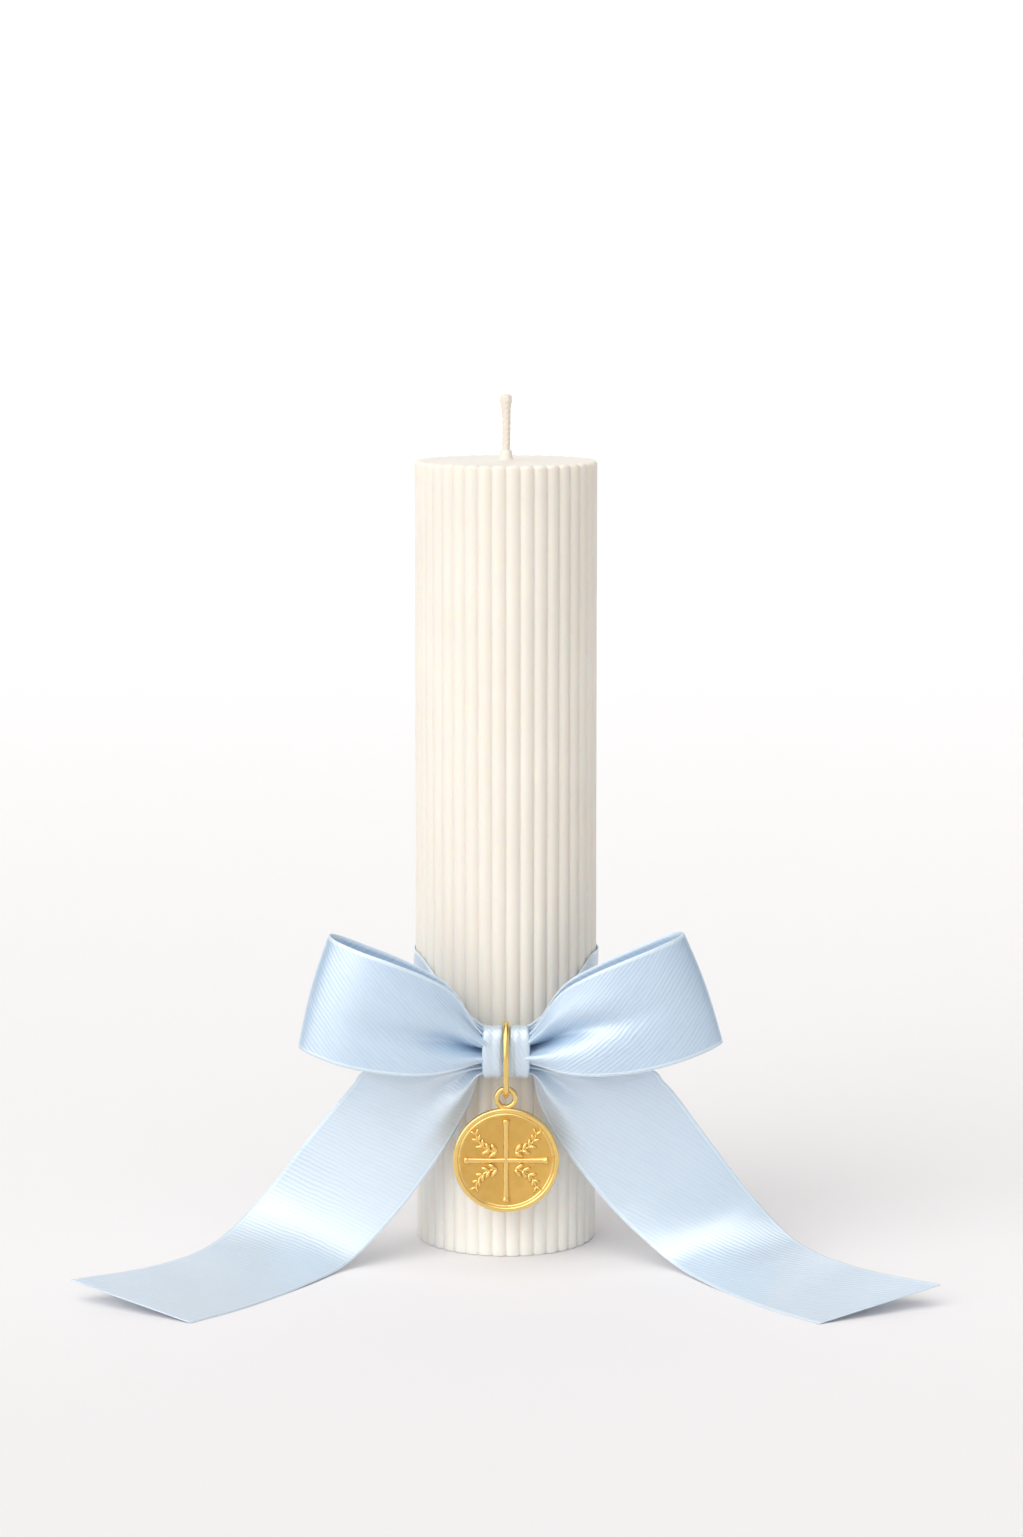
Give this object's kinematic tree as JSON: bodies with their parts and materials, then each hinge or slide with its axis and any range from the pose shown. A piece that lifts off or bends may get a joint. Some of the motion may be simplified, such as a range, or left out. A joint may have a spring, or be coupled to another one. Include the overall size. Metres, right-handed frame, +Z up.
{
  "type": "unity candle",
  "caption": "Fluted pillar candle with a cotton wick, tied with a wide satin ribbon bow that carries a round medallion on an oval ring.",
  "frame": {"origin": "the candle's axis in the plane of its base, where it stands", "axes": "+Z up along the candle; the front, where the bow is tied, faces -Y; +X to the right seen from the front"},
  "size_m": [0.2726, 0.1382, 0.2815],
  "materials": {
    "wax": "satin ivory wax, slightly translucent",
    "wick_cotton": "braided cotton, waxed",
    "tinned_steel": "pressed tinned steel",
    "satin": "baby-blue satin with a woven selvedge",
    "gold": "gold-plated brass, polished relief on a matt field"
  },
  "bodies": {
    "candle": {"candle_body": "wax", "wick": "wick_cotton", "wick_tab": "tinned_steel"},
    "ribbon": {"ribbon_band": "satin", "bow_knot": "satin", "bow_loop_left": "satin", "bow_loop_right": "satin", "bow_tail_left": "satin", "bow_tail_right": "satin"},
    "ring": {"bail_ring": "gold"},
    "medallion": {"medallion": "gold"}
  },
  "joints": [
    {"name": "ribbon_slide", "type": "slide", "parent": "candle", "child": "ribbon", "axis": [0, 0, 1], "range_m": [0, 0.225]},
    {"name": "ring_swing", "type": "hinge", "parent": "ribbon", "child": "ring", "pos_m": [0, -0.04, 0.07941], "axis": [0, 1, 0], "range_deg": [-12, 12]},
    {"name": "medallion_lift", "type": "hinge", "parent": "ring", "child": "medallion", "pos_m": [0, -0.04, 0.05895], "axis": [-1, 0, 0], "range_deg": [-3, 75]}
  ]
}
